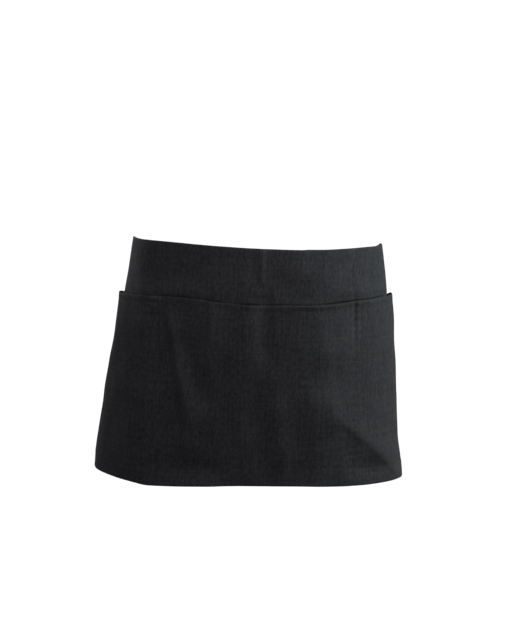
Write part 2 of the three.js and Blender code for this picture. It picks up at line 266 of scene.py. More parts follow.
def slack(across, drop):
    """Unevenness of hanging cloth: four slanting sine waves, 33 to 55 mm long and a part of a
    millimetre high, two of which swell and fade. All grow down from the waist, where the cloth
    is held."""
    a, d = across[..., None], drop[..., None]
    height, run_a, run_d, phase, swell_a, swell_d, swell_phase = slack_table.T
    waves = height * np.sin(a / run_a + d / run_d + phase)
    swell = np.sin(a / swell_a + d / swell_d + swell_phase)
    grown = slack_at_waist + (1 - slack_at_waist) * np.clip(drop / slack_growth, 0, 1)
    return np.sum(waves * swell, axis=-1) * grown


groove_half = 1.0
groove_lines = (-2.0, -0.8, 0.0, 0.8, 2.0)
ripple_run = 1.45
ripple_reach = 6.5


def sewn(distance, along, depth, ripple):
    """Cloth drawn in by a row of stitches: a narrow bell-shaped groove on the row, and uneven
    ripples of about 9 mm along it that die away within a finger's width."""
    groove = -depth * np.exp(-(distance / groove_half) ** 2)
    wander = along / ripple_run + 1.6 * np.sin(along / 19.0) + 0.9 * np.sin(along / 7.3 + 1.0)
    return groove + ripple * np.sin(wander) * np.exp(-(distance / ripple_reach) ** 2)


def lines_through(keys, spacing):
    """Grid lines through every key line, evenly spaced between them at about the spacing."""
    parts = [np.linspace(a, b, max(1, round((b - a) / spacing)) + 1)[:-1]
             for a, b in zip(keys[:-1], keys[1:])]
    return np.concatenate(parts + [np.array(keys[-1:])])


def around(rows):
    """Close key lines on both sides of each stitched row, so that its groove has a shape."""
    return [row + shift for row in rows for shift in groove_lines]


def smooth_piece(name, points, faces):
    """A smooth mesh object at the origin, of points in millimetres and lists of faces."""
    mesh = bpy.data.meshes.new(name)
    mesh.from_pydata((points * 0.001).tolist(), [], faces)
    mesh.polygons.foreach_set("use_smooth", np.ones(len(mesh.polygons), dtype=bool))
    mesh.update()
    piece = bpy.data.objects.new(name, mesh)
    bpy.context.collection.objects.link(piece)
    return piece


def cloth_piece(name, points, faces, measure, rub):
    """A smooth piece whose UV map holds the cloth's own measure, in metres, and whose attribute
    rub says from 0 to 1 how much each point is handled."""
    piece = smooth_piece(name, points, faces)
    mesh = piece.data
    corner = np.empty(len(mesh.loops), dtype=np.int32)
    mesh.loops.foreach_get("vertex_index", corner)
    metres = (measure * 0.001)[corner].astype(np.float32)
    mesh.uv_layers.new(name="cloth").data.foreach_set("uv", metres.ravel())
    mesh.attributes.new("rub", "FLOAT", "POINT").data.foreach_set("value", rub.astype(np.float32))
    return piece


def wall_mesh(name, outer, inner, across, drop, edge_width=5.0):
    """Closed mesh of a cloth wall. The outer and inner grids are joined round their border by a
    half-round edge in four strips. The measure runs across and down the cloth, and the rub grows
    towards the borders, where cloth is handled most."""
    rows, columns = outer.shape[:2]
    total = rows * columns
    number = np.arange(total).reshape(rows, columns)
    loop = np.concatenate([number[0, :-1], number[:-1, -1], number[-1, :0:-1], number[:0:-1, 0]])
    length = len(loop)
    away = np.zeros_like(outer)
    away[0] += outer[0] - outer[1]
    away[-1] += outer[-1] - outer[-2]
    away[:, 0] += outer[:, 0] - outer[:, 1]
    away[:, -1] += outer[:, -1] - outer[:, -2]
    flat_outer, flat_inner = outer.reshape(-1, 3), inner.reshape(-1, 3)
    direction = away.reshape(-1, 3)[loop]
    direction = direction / np.linalg.norm(direction, axis=1, keepdims=True)
    centre = (flat_outer[loop] + flat_inner[loop]) / 2
    radius = (flat_outer[loop] - flat_inner[loop]) / 2
    reach = np.linalg.norm(radius, axis=1, keepdims=True)
    bends = np.radians([45.0, 90.0, 135.0])[:, None, None]
    rim = centre + np.cos(bends) * radius + np.sin(bends) * reach * direction
    points = np.concatenate([flat_outer, flat_inner, rim.reshape(-1, 3)])

    quads = np.stack([number[:-1, :-1], number[1:, :-1], number[1:, 1:], number[:-1, 1:]], axis=-1)
    quads = quads.reshape(-1, 4)
    rim_rings = 2 * total + np.arange(len(bends) * length).reshape(len(bends), length)
    rings = [loop, *rim_rings, loop + total]
    strips = [np.stack([a, np.roll(a, -1), np.roll(b, -1), b], axis=-1)
              for a, b in zip(rings[:-1], rings[1:])]
    faces = np.concatenate([quads, quads[:, ::-1] + total] + strips)

    grid_across, grid_drop = np.meshgrid(across, drop)
    measure = np.stack([grid_across, -grid_drop], axis=-1).reshape(-1, 2)
    edge = np.minimum(np.minimum(grid_drop - drop[0], drop[-1] - grid_drop),
                      np.minimum(grid_across - across[0], across[-1] - grid_across))
    rub = np.exp(-(edge / edge_width) ** 2).reshape(-1)
    place = np.concatenate([number.reshape(-1)] * 2 + [loop] * len(bends))
    return cloth_piece(name, points, faces.tolist(), measure[place], rub[place])


# Twill: how a rib counts across and up the cloth, warp and weft threads to a rib, and how far ribs,
# threads and fibre stand up from the base
rib_slant = (0.74, -0.67)
threads_per_rib = (1.9, 1.5)
rib_rise = 0.32
thread_rise = 0.14
fibre_rise = 0.3
relief_base = 0.35

# Unevenness of yarn and dye, as noises on the measure: scale, detail, roughness, and the stretch
# that draws them out along the warp or the weft
yarn_noises = {
    "fibre": (1500.0, 3.0, 0.7, (1.0, 0.5, 1.0)),
    "mottle": (330.0, 4.0, 0.7, (1.0, 0.5, 1.0)),
    "fading": (28.0, 2.0, 0.7, (1.0, 0.5, 1.0)),
    "warp slub": (340.0, 2.0, 0.5, (1.0, 0.07, 1.0)),
    "weft slub": (340.0, 2.0, 0.5, (0.07, 1.0, 1.0)),
}

# How much each of them, and the weave, counts in the shade, and what is taken off their sum
shade_weights = {"mottle": 2.6, "fading": 0.45, "warp slub": 1.0, "weft slub": 0.7}
weave_weight = 0.28
shade_start = 1.895


def math_node(tree, kind, *values):
    """Output of a Math node of the kind, fed with numbers and sockets."""
    node = tree.nodes.new("ShaderNodeMath")
    node.operation = kind
    for socket, value in zip(node.inputs, values):
        if isinstance(value, (int, float)):
            socket.default_value = value
        else:
            tree.links.new(value, socket)
    return node.outputs[0]


def noise_node(tree, place, scale, detail, roughness=0.5):
    """Value of a cloudy noise at a place."""
    node = tree.nodes.new("ShaderNodeTexNoise")
    for name, value in (("Scale", scale), ("Detail", detail), ("Roughness", roughness)):
        node.inputs[name].default_value = value
    tree.links.new(place, node.inputs["Vector"])
    return node.outputs["Fac"]


def colour_between(tree, share, first, second):
    """Colour that passes with the share from the first, a colour or a socket, to the second."""
    node = tree.nodes.new("ShaderNodeMix")
    node.data_type = "RGBA"
    tree.links.new(share, node.inputs["Factor"])
    if isinstance(first, tuple):
        node.inputs["A"].default_value = (*first, 1)
    else:
        tree.links.new(first, node.inputs["A"])
    node.inputs["B"].default_value = (*second, 1)
    return node.outputs["Result"]


def twill_group():
    """Twill weave on cloth measured in metres. The weave is a sine along the slant for the ribs,
    and finer sines across and up for the warp and weft threads. Height adds the fibre to it. Shade,
    from 0 to 1, adds mottle, slow fading and the slubs of uneven yarn."""
    group = bpy.data.node_groups.new("twill weave", "ShaderNodeTree")
    face = group.interface
    face.new_socket("Measure", in_out="INPUT", socket_type="NodeSocketVector")
    face.new_socket("Ribs per metre", in_out="INPUT", socket_type="NodeSocketFloat")
    face.new_socket("Height", in_out="OUTPUT", socket_type="NodeSocketFloat")
    face.new_socket("Shade", in_out="OUTPUT", socket_type="NodeSocketFloat")
    nodes, links = group.nodes, group.links
    source, sink = nodes.new("NodeGroupInput"), nodes.new("NodeGroupOutput")
    split = nodes.new("ShaderNodeSeparateXYZ")
    links.new(source.outputs["Measure"], split.inputs[0])
    across, up = split.outputs["X"], split.outputs["Y"]

    def weighted_sum(start, *pairs):
        total = start
        for value, weight in pairs:
            total = math_node(group, "MULTIPLY_ADD", value, weight, total)
        return total

    def wave(place, turns):
        return math_node(group, "SINE", math_node(group, "MULTIPLY", place, turns))

    def drawn_noise(scale, detail, roughness, stretch):
        drawn = nodes.new("ShaderNodeVectorMath")
        drawn.operation = "MULTIPLY"
        drawn.inputs[1].default_value = stretch
        links.new(source.outputs["Measure"], drawn.inputs[0])
        return noise_node(group, drawn.outputs[0], scale, detail, roughness)

    turns = math_node(group, "MULTIPLY", source.outputs["Ribs per metre"], 2 * math.pi)
    rib = wave(weighted_sum(0.0, (across, rib_slant[0]), (up, rib_slant[1])), turns)
    warp = wave(across, math_node(group, "MULTIPLY", turns, threads_per_rib[0]))
    weft = wave(up, math_node(group, "MULTIPLY", turns, threads_per_rib[1]))
    weave = weighted_sum(0.0, (rib, rib_rise), (warp, thread_rise), (weft, thread_rise))
    yarn = {name: drawn_noise(*row) for name, row in yarn_noises.items()}
    links.new(weighted_sum(relief_base, (weave, 1.0), (yarn["fibre"], fibre_rise)), sink.inputs["Height"])
    parts = [(yarn[name], weight) for name, weight in shade_weights.items()]
    clamp = nodes.new("ShaderNodeClamp")
    links.new(weighted_sum(-shade_start, (weave, weave_weight), *parts), clamp.inputs["Value"])
    links.new(clamp.outputs[0], sink.inputs["Shade"])
    return group


weave_group = twill_group()
rough_deep = 0.93
rough_light = 0.83
rub_share = 0.06


def twill_material(name, deep, light, rubbed, ribs):
    """Matt dyed twill: colour runs from deep to light with the weave's shade, and a little
    towards the rubbed colour along handled edges. Lighter yarn is a little smoother, and the weave
    is the relief."""
    material = bpy.data.materials.new(name)
    material.use_nodes = True
    tree = material.node_tree
    nodes, links = tree.nodes, tree.links
    shader = nodes["Principled BSDF"]
    shader.inputs["Specular IOR Level"].default_value = 0.08
    shader.inputs["Sheen Weight"].default_value = 0.02
    shader.inputs["Sheen Roughness"].default_value = 0.5
    measure = nodes.new("ShaderNodeUVMap")
    measure.uv_map = "cloth"
    weave = nodes.new("ShaderNodeGroup")
    weave.node_tree = weave_group
    weave.inputs["Ribs per metre"].default_value = ribs
    links.new(measure.outputs["UV"], weave.inputs["Measure"])
    shade = weave.outputs["Shade"]
    rub = nodes.new("ShaderNodeAttribute")
    rub.attribute_name = "rub"
    worn = math_node(tree, "MULTIPLY", rub.outputs["Fac"], rub_share)
    dye = colour_between(tree, shade, deep, light)
    links.new(colour_between(tree, worn, dye, rubbed), shader.inputs["Base Color"])
    nap = math_node(tree, "MULTIPLY_ADD", shade, rough_light - rough_deep, rough_deep)
    links.new(nap, shader.inputs["Roughness"])
    bump = nodes.new("ShaderNodeBump")
    bump.inputs["Strength"].default_value = 0.6
    bump.inputs["Distance"].default_value = 0.00016
    links.new(weave.outputs["Height"], bump.inputs["Height"])
    links.new(bump.outputs["Normal"], shader.inputs["Normal"])
    return material


# Where the mouth of the pocket lies over the body: across, drop, depth by which the body falls in
# behind it, distance by which its rim curls out. The mouth sags between the seams that hold it up,
# and mouth_drop is its level in the pocket's own measure.
mouth_drop = 66.0
mouth_table = np.array([
    (-300.0, 72.4, 0.0, 0.2),
    (-230.0, 71.8, 0.0, 0.2),
    (-190.0, 70.8, 0.15, 0.3),
    (-160.0, 69.6, 0.2, 0.5),
    (-138.0, 68.2, 0.15, 0.3),
    (-120.0, 66.8, 0.8, 0.4),
    (-105.0, 66.2, 0.8, 0.4),
    (-90.0, 66.2, 0.7, 0.5),
    (-76.0, 66.8, 0.3, 0.8),
    (-66.0, 67.5, 0.4, 1.0),
    (-57.0, 68.5, 1.0, 1.2),
    (-47.0, 69.3, 0.8, 1.2),
    (-36.0, 70.0, 0.0, 0.9),
    (-18.0, 71.0, 0.5, 0.5),
    (0.0, 71.4, 0.9, 0.7),
    (9.0, 71.4, 0.3, 0.6),
    (22.0, 71.0, 0.5, 0.3),
    (45.0, 70.1, 0.5, 0.5),
    (70.0, 70.0, 0.3, 1.1),
    (88.0, 69.6, 0.6, 1.6),
    (105.0, 68.5, 1.2, 1.7),
    (126.0, 66.9, 1.5, 1.4),
    (138.0, 66.4, 1.0, 0.7),
    (160.0, 66.0, 1.6, 0.3),
    (178.0, 65.6, 1.8, 0.4),
    (192.0, 64.6, 1.6, 0.6),
    (208.0, 63.2, 1.2, 0.4),
    (240.0, 63.2, 0.6, 0.2),
    (300.0, 66.0, 0.0, 0.2),
])

# Distances below the mouth line between which the body falls in and comes back, and the drop at
# which the stitches of its side hems go under the pocket
fall_in = (-3.0, -0.4)
fall_back = (44.0, 4.0)
side_row_end = mouth_drop + 20.0


def mouth_rim(across):
    """Drop of the mouth, fall of the body behind it and curl of its rim, at places across."""
    return np.moveaxis(smooth_rows(mouth_table, across), -1, 0)


def mouth_fall(across, drop):
    """Hollow of the body cloth along the pocket's mouth: it falls in within 3 mm above the mouth
    line and comes back over the hidden 40 mm below it."""
    line, fall, _ = mouth_rim(across)
    return -fall * eased(drop - line, *fall_in) * eased(drop - line, *fall_back)


def body_offset(across, drop):
    """Outer face of the body cloth: the shared folds and slack, the fall behind the mouth and the
    creases of the band, drawn in by the stitches of the top and side hems."""
    offset = folds(across, drop) + slack(across, drop) + mouth_fall(across, drop)
    offset += ridges(across, drop, band_table) * eased(drop, *crease_end)
    offset += sewn(drop - top_row, across, depth=0.08, ripple=0.12)
    side_groove = sewn(np.abs(across) - side_row, drop, depth=0.18, ripple=0.12)
    return offset + side_groove * (drop < side_row_end)


def body_face(across, drop, lift=0.0):
    """Outer face of the body cloth, lifted off it by a little."""
    return cloth(across, drop, body_offset(across, drop) + lift)


def body_back(across, drop, lift=0.0):
    """Inner face of the body cloth, with the turned hems a ply thicker, stepping up over 1.2 mm."""
    inside = np.minimum(drop - top_hem, hem_line - drop)
    inside = np.minimum(inside, half_width - side_hem - np.abs(across))
    hem = np.clip(0.5 - inside / hem_step, 0, 1)
    return cloth(across, drop, body_offset(across, drop) - body_wall - hem_ply * hem - lift)


# Grid of the body: close along the stitched rows, the edges of the hems and the pocket's mouth, and
# wider where the pocket covers it
body_spacing = 2.4
fine_spacing = 0.9
covered_spacing = 3.2
mouth_zone = (58.0, 75.0)
side_keys = [half_width - side_hem - hem_step, side_row + groove_lines[0], side_row,
             side_row + groove_lines[-1], half_width]
body_across = lines_through([-key for key in side_keys[::-1]] + [0.0] + side_keys, body_spacing)
body_drop = np.concatenate([
    lines_through([0.0] + around([top_row]) + [top_hem + 1.0, mouth_zone[0]], body_spacing)[:-1],
    lines_through(mouth_zone, fine_spacing)[:-1],
    lines_through([mouth_zone[1], hem_line - 1.0, hem_line + 0.6, apron_drop], covered_spacing),
])
body_grid = np.meshgrid(body_across, body_drop)
body = wall_mesh("body_cloth", body_face(*body_grid), body_back(*body_grid), body_across, body_drop)
black_twill = twill_material(
    "black twill", deep=(0.0134, 0.013, 0.0153), light=(0.0298, 0.0289, 0.0326),
    rubbed=(0.0465, 0.0455, 0.0505), ribs=850.0)
body.data.materials.append(black_twill)
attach(body, "root")
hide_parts("front_panel")


# Pocket: one wide patch of the same twill over the lower part, sewn down at both sides and in the
# hem. Two upright seams part it into a wide centre pocket and two side pockets, and a cross seam
# closes each side pocket. Its turned mouth stands open between the seams.
pocket_wall = 0.9
layer_gap = 0.65
mouth_hem = 6.5
mouth_roll = 3.5
turned_ply = 0.25
turned_step = 3.0
pocket_seam = 138.0
side_pocket_bottom = (198.0, 183.0)
sag_fade = 120.0
gather_width = 26.0
gather_drop = 90.0
gather_height = 0.35
hem_ripple_shift = 40.0
mouth_row = mouth_drop + mouth_hem

# Bulges of the mouth: from, to, drop where the bulge closes, height at the mouth, closing power
bulge_table = np.array([
    (-300.0, -138.0, 197.0, 5.2, 1.5),
    (-116.0, -34.0, 275.0, 4.2, 0.9),
    (-34.0, 14.0, 230.0, 2.6, 0.9),
    (14.0, 138.0, 275.0, 7.5, 0.9),
    (138.0, 300.0, 187.0, 5.0, 1.5),
])


def pocket_drop_at(across, down):
    """Drop of the pocket's cloth, for a place measured down from a level mouth: the sag of the
    mouth is added, and fades as a square over the upper half of the pocket."""
    sag = mouth_rim(across)[0] - mouth_drop
    fade = 1 - np.clip((down - mouth_drop) / sag_fade, 0, 1)
    return down + sag * fade ** 2


def pocket_bulge(across, down):
    """How far the pocket stands off the body: over each stretch a sine arch to the power 1.5,
    shrinking from the mouth to the pocket's bottom."""
    start, end, bottom, height, closing = bulge_table.T
    share = np.clip((across[..., None] - start) / (end - start), 0, 1)
    closed = np.clip((down[..., None] - mouth_drop) / (bottom - mouth_drop), 0, 1)
    return np.sum(height * np.sin(math.pi * share) ** 1.5 * (1 - closed ** closing), axis=-1)


def pocket_offset(across, down):
    """Inner face of the pocket: it follows the body's folds, stands off by its bulges, gathers a
    little beside the right seam, curls out at the mouth, and is drawn in at its seams."""
    drop = pocket_drop_at(across, down)
    offset = folds(across, drop) + slack(across, drop)
    offset += layer_gap + pocket_bulge(across, down)
    below = np.clip((down - mouth_drop) / gather_drop, 0, 1)
    gather = gather_height * np.exp(-((across - pocket_seam) / gather_width) ** 2) * (1 - below) ** 1.5
    offset += gather * np.sin(across / ripple_run + 0.5 * np.sin(drop / 22))
    offset += mouth_rim(across)[2] * np.exp(-((down - mouth_drop) / mouth_roll) ** 2)
    offset += sewn(down - mouth_row, across, depth=0.16, ripple=0.12)
    offset += sewn(down - hem_line, across + hem_ripple_shift, depth=0.1, ripple=0.12)
    offset += sewn(np.abs(across) - pocket_seam, drop, depth=0.16, ripple=0.24)
    offset += sewn(np.abs(across) - side_row, drop, depth=0.18, ripple=0.15)
    bottom = np.where(across < 0, side_pocket_bottom[0], side_pocket_bottom[1])
    on_side = 1 / (1 + np.exp(-(np.abs(across) - pocket_seam) / 1.2))
    return offset + sewn(down - bottom, across, depth=0.16, ripple=0.2) * on_side


def pocket_face(across, down, lift=0.0):
    """Outer face of the pocket, thicker where the mouth and the hem are turned in."""
    turned = np.clip(0.5 - (down - mouth_row - 1.0) / turned_step, 0, 1)
    turned = np.maximum(turned, np.clip(0.5 + (down - hem_line) / turned_step, 0, 1))
    wall = pocket_wall + turned_ply * turned
    return cloth(across, pocket_drop_at(across, down), pocket_offset(across, down) + wall + lift)


def pocket_back(across, down):
    """Inner face of the pocket."""
    return cloth(across, pocket_drop_at(across, down), pocket_offset(across, down))


# Grid of the pocket: close along the stitched rows, and closest at the two upright seams
pocket_spacing = 2.2
left_zone = (-pocket_seam - 8.0, -pocket_seam, -pocket_seam + 14.0)
right_zone = (pocket_seam - 10.0, pocket_seam, pocket_seam + 8.0)
pocket_across = np.concatenate([
    lines_through([-half_width] + around([-side_row]) + [left_zone[0]], pocket_spacing)[:-1],
    lines_through(left_zone, fine_spacing)[:-1],
    lines_through([left_zone[-1], 0.0, right_zone[0]], pocket_spacing)[:-1],
    lines_through(right_zone, fine_spacing)[:-1],
    lines_through([right_zone[-1]] + around([side_row]) + [half_width], pocket_spacing),
])
level_keys = around([mouth_row, *sorted(side_pocket_bottom), hem_line])
pocket_drop = lines_through([mouth_drop] + level_keys + [apron_drop], pocket_spacing)
pocket_grid = np.meshgrid(pocket_across, pocket_drop)
pocket = wall_mesh("pocket_cloth", pocket_face(*pocket_grid), pocket_back(*pocket_grid),
                   pocket_across, pocket_drop)
pocket.data.materials.append(black_twill)
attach(pocket, "root")
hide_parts("pocket_panel")


# Waist ties: strips of the twill folded to a flat tape and stitched along both edges. Each is sewn
# with a box of stitches inside a top corner of the body and led round to the back, into the knot.
tie_width = 25.0
tie_wall = 1.5
tie_below_edge = 2.0
tie_lap = 30.0
tie_gap = 0.8
tie_radius = 118.0
tie_lines = 90
tape_lines = 19
tape_pleats = 3
tape_edge = 2.0
knot_half = 17.0
knot_tuck = 6.0
back_reach = 164.0
gather_turn = (math.radians(156), math.radians(174))
tie_narrowing = 0.36
tie_pleat = 1.1
tie_outer = -(body_wall + hem_ply + tie_gap)
tie_middle = tie_below_edge + tie_width / 2
black_tape = twill_material(
    "black tie twill", deep=(0.0124, 0.012, 0.0142), light=(0.0268, 0.026, 0.0294),
    rubbed=(0.0425, 0.0415, 0.0465), ribs=950.0)


def tie_place(angle, share, lift):
    """Place on a tie: its level drops from upper to lower edge with the share, narrowing to two
    thirds as it runs into the knot, where it also gathers into three soft pleats."""
    near = eased(np.abs(angle), *gather_turn)
    drop = tie_middle + (share - 0.5) * tie_width * (1 - tie_narrowing * near)
    pleat = tie_pleat * near * np.cos(2 * math.pi * tape_pleats * share)
    return cloth_at_angle(angle, drop, tie_outer + pleat + lift)


def tie_angle(across):
    """Angle round the waist of a place across the cloth, at the level of the ties."""
    return float(angle_across(np.array(across), np.array(tie_middle)))


def tie_piece(name, start, end):
    """Wall mesh of a tie between two angles round the waist. Its measure is the angle times the
    mean radius of its way."""
    share = np.linspace(0, 1, tape_lines)
    grid_angle, grid_share = np.meshgrid(np.linspace(start, end, tie_lines), share)
    outer = tie_place(grid_angle, grid_share, 0.0)
    inner = tie_place(grid_angle, grid_share, -tie_wall)
    along = np.linspace(0, (end - start) * tie_radius, tie_lines)
    piece = wall_mesh(name, outer, inner, along, share * tie_width, tape_edge)
    piece.data.materials.append(black_tape)
    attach(piece, "root")
    return piece


lap_right = tie_angle(half_width - tie_lap)
lap_left = tie_angle(tie_lap - half_width)
knot_turn = math.pi - math.asin((knot_half - knot_tuck) / back_reach)
tie_right = tie_piece("waist_tie_right", lap_right, knot_turn)
tie_left = tie_piece("waist_tie_left", -knot_turn, lap_left)
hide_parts("tie_right")
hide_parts("tie_left")


# Knot: the two ties crossed and pulled tight behind, with their ends hanging down. The upper
# strand wraps over the lower one, so a slanting edge of tape shows across the lump.
knot_size = (knot_half, 9.0, 12.5)
knot_back = 1.0
knot_droop = 1.5
lump_rings = 59
lump_sides = 96
lump_radius = 12.0
strand_rise = 1.3
strand_half = 7.0
strand_slant = 5.5
tie_back = cloth_at_angle(np.array(math.pi), np.array(tie_middle), np.array(tie_outer))
knot_seat = tie_back + (0.0, knot_back, 0.0)


def tube_faces(rings, sides):
    """Faces of a tube of rings with a point at each end, numbered after the rings: quads between
    neighbouring rings, and triangles from the first and the last ring to their end points."""
    number = np.arange(rings * sides).reshape(rings, sides)
    after = np.roll(number, -1, axis=1)
    quads = np.stack([number[:-1], after[:-1], after[1:], number[1:]], axis=-1).reshape(-1, 4)
    first, last = np.full(sides, rings * sides), np.full(sides, rings * sides + 1)
    caps = np.concatenate([np.stack([after[0], number[0], first], axis=-1),
                           np.stack([number[-1], after[-1], last], axis=-1)])
    return quads, caps


def knot_lump():
    """Points and cloth measure of a pillow round the ties: an oval ring carried along X, full in
    the middle and drawn in like a sack at both ends, with slanting pleats and one strand's width
    raised over the rest."""
    half, depth, height = knot_size
    s = np.linspace(-1, 1, lump_rings + 2)[1:-1, None]
    around_x = np.linspace(0, 2 * math.pi, lump_sides + 1)[None, :-1]
    full = (1 - np.abs(s) ** 3.2) ** 0.42
    pleats = 0.05 * np.cos(3 * around_x + 4.2 * s + 0.5) + 0.03 * np.cos(7 * around_x - 6.0 * s)
    slant = s * half + strand_slant * np.sin(around_x + 0.6)
    strand = strand_rise / (1 + np.exp((np.abs(slant) - strand_half) / 0.5))
    x = s * half + 0 * around_x
    y = full * ((1 + pleats) * (depth - strand_rise) + strand) * np.cos(around_x)
    z = full * ((1 + pleats) * (height - strand_rise) + strand) * np.sin(around_x)
    ends = np.array([(-half, 0.0, 0.0), (half, 0.0, 0.0)])
    points = np.concatenate([np.stack([x, y, z], axis=-1).reshape(-1, 3), ends])
    girth = np.broadcast_to(around_x * lump_radius, x.shape)
    measure = np.concatenate([np.stack([girth, x], axis=-1).reshape(-1, 2), ends[:, [1, 0]]])
    return points, measure


lump_points, lump_measure = knot_lump()
lump_quads, lump_caps = tube_faces(lump_rings, lump_sides)
knot = cloth_piece("waist_knot", lump_points + knot_seat - (0.0, 0.0, knot_droop),
                   lump_quads.tolist() + lump_caps.tolist(), lump_measure, np.zeros(len(lump_points)))
knot.data.materials.append(black_tape)
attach(knot, "root")
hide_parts("tie_knot")


# Tie ends: the last stretch of each tie, a flat tape of folded twill that hangs free from the knot.
# The two part to either side, one a little behind the other: tail_apart is how far each lies from
# the knot's middle, sideways and in depth.
tail_top = 4.0
tail_length = 122.0
tail_lines = 76
tail_opening = 30.0
tail_gathered = 0.56
tail_lean = math.radians(9)
tail_pleat = 1.2
tail_bow = 1.6
tail_wave = 0.7
tail_curl = 1.4
tail_apart = (2.5, 2.2)


def tail_place(side, down, share, lift):
    """Place on a hanging tie end: it leaves the knot gathered, widens to the full tape within
    a knot's height, leans out to its side, and bows a little away and back."""
    opened = eased(down, 0.0, tail_opening)
    width = tie_width * (tail_gathered + (1 - tail_gathered) * opened)
    cross = (share - 0.5) * width
    pleat = tail_pleat * (1 - opened) * np.cos(2 * math.pi * tape_pleats * share)
    bow = tail_bow * np.sin(math.pi * down / tail_length) + tail_wave * np.sin(down / 17 + side)
    curl = tail_curl * side * (share - 0.5) * np.sin(down / 48)
    sine, cosine = math.sin(tail_lean * side), math.cos(tail_lean * side)
    x = side * tail_apart[0] + cross * cosine + down * sine
    y = side * tail_apart[1] + bow + curl + pleat + lift
    z = -down * cosine + cross * sine
    return np.stack([x, y, z], axis=-1) + knot_seat


def tail_piece(name, side):
    """Wall mesh of one hanging tie end."""
    down = np.linspace(tail_top, tail_length, tail_lines)
    share = np.linspace(0, 1, tape_lines)
    grid_share, grid_down = np.meshgrid(share, down)
    front = tail_place(side, grid_down, grid_share, -tie_wall / 2)
    back = tail_place(side, grid_down, grid_share, tie_wall / 2)
    piece = wall_mesh(name, front, back, share * tie_width, down, tape_edge)
    piece.data.materials.append(black_tape)
    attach(piece, "root")
    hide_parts("tie_knot")


tail_piece("tie_end_left", -1)
tail_piece("tie_end_right", 1)


# Stitching: rows of black polyester lockstitch, about eight stitches to the inch. Each stitch is a
# short rounded bar of thread lying in the groove that it has pulled into the cloth.
stitch_step = 3.3
stitch_length = 2.7
stitch_sink = 0.05
stitch_aim = 0.6
thread_radius = 0.24
thread_sides = 6
thread_rough = (0.45, 0.65)

# Stations of a stitch: share of its length from the middle, share of the thread's radius
station_table = np.array([
    (-0.46, 0.62),
    (-0.30, 1.00),
    (0.30, 1.00),
    (0.46, 0.62),
])


def thread_material():
    """Black polyester thread: a soft gloss, with a fine grain of colour and roughness."""
    material = bpy.data.materials.new("black thread")
    material.use_nodes = True
    tree = material.node_tree
    shader = tree.nodes["Principled BSDF"]
    shader.inputs["Specular IOR Level"].default_value = 0.06
    place = tree.nodes.new("ShaderNodeTexCoord")
    grain = noise_node(tree, place.outputs["Object"], scale=1800.0, detail=2.0)
    dye = colour_between(tree, grain, (0.013, 0.0127, 0.0145), (0.024, 0.0234, 0.026))
    tree.links.new(dye, shader.inputs["Base Color"])
    smooth, rough = thread_rough
    gloss = math_node(tree, "MULTIPLY_ADD", grain, rough - smooth, smooth)
    tree.links.new(gloss, shader.inputs["Roughness"])
    return material


black_thread = thread_material()


def stitch_bar():
    """Points of one stitch along X: a ring of thread at each station, then the two end points."""
    place, swell = station_table.T[:, :, None] * np.ones(thread_sides)
    ring = np.linspace(0, 2 * math.pi, thread_sides + 1)[:-1]
    radius = swell * thread_radius
    rings = np.stack([place * stitch_length, radius * np.cos(ring), radius * np.sin(ring)], axis=-1)
    ends = np.array([(-0.5, 0.0, 0.0), (0.5, 0.0, 0.0)]) * stitch_length
    return np.concatenate([rings.reshape(-1, 3), ends])


def stitch_rows(name, rows):
    """Stitches along rows, in one piece. A row is its start, its end, and a function that gives
    the points at runs along it in millimetres and at a lift off the cloth. Each stitch lies along
    the row, upright on the cloth and sunk a little into it."""
    bar = stitch_bar()
    quads, caps = tube_faces(len(station_table), thread_sides)
    stitches = []
    for start, end, place in rows:
        number = max(2, int((end - start) / stitch_step))
        run = start + (np.arange(number) + 0.5) * (end - start) / number
        centre = place(run, -stitch_sink)
        along = place(run + stitch_aim, -stitch_sink) - place(run - stitch_aim, -stitch_sink)
        along /= np.linalg.norm(along, axis=1, keepdims=True)
        up = place(run, 1.0) - centre
        up -= along * np.sum(up * along, axis=1, keepdims=True)
        up /= np.linalg.norm(up, axis=1, keepdims=True)
        axes = np.stack([along, np.cross(up, along), up], axis=1)
        stitches.append(centre[:, None, :] + np.einsum("vk,nkc->nvc", bar, axes))
    points = np.concatenate(stitches)
    shift = np.arange(len(points))[:, None, None] * len(bar)
    faces = (quads + shift).reshape(-1, 4).tolist() + (caps + shift).reshape(-1, 3).tolist()
    piece = smooth_piece(name, points.reshape(-1, 3), faces)
    piece.data.materials.append(black_thread)
    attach(piece, "root")


def level_row(face, drop):
    """A row of stitches straight across a cloth face at one drop."""
    return lambda run, lift: face(run, np.full_like(run, drop), lift)


def upright_row(face, across):
    """A row of stitches straight down a cloth face at one distance across."""
    return lambda run, lift: face(np.full_like(run, across), run, lift)


def tie_row(share, side):
    """A row of stitches along a tie, near one of its edges, on its outer or inner side."""
    depth = 0.0 if side > 0 else -tie_wall
    return lambda run, lift: tie_place(run / tie_radius, np.full_like(run, share), depth + side * lift)


def tie_cross(across):
    """A row of stitches across the inner side of a tie, where it is sewn to the body."""
    angle = tie_angle(across)
    return lambda run, lift: tie_place(np.full_like(run, angle), run / tie_width, -tie_wall - lift)


def tail_row(side, share, face):
    """A row of stitches down a hanging tie end, on its back or its front."""
    return lambda run, lift: tail_place(side, run, np.full_like(run, share), face * (tie_wall / 2 + lift))


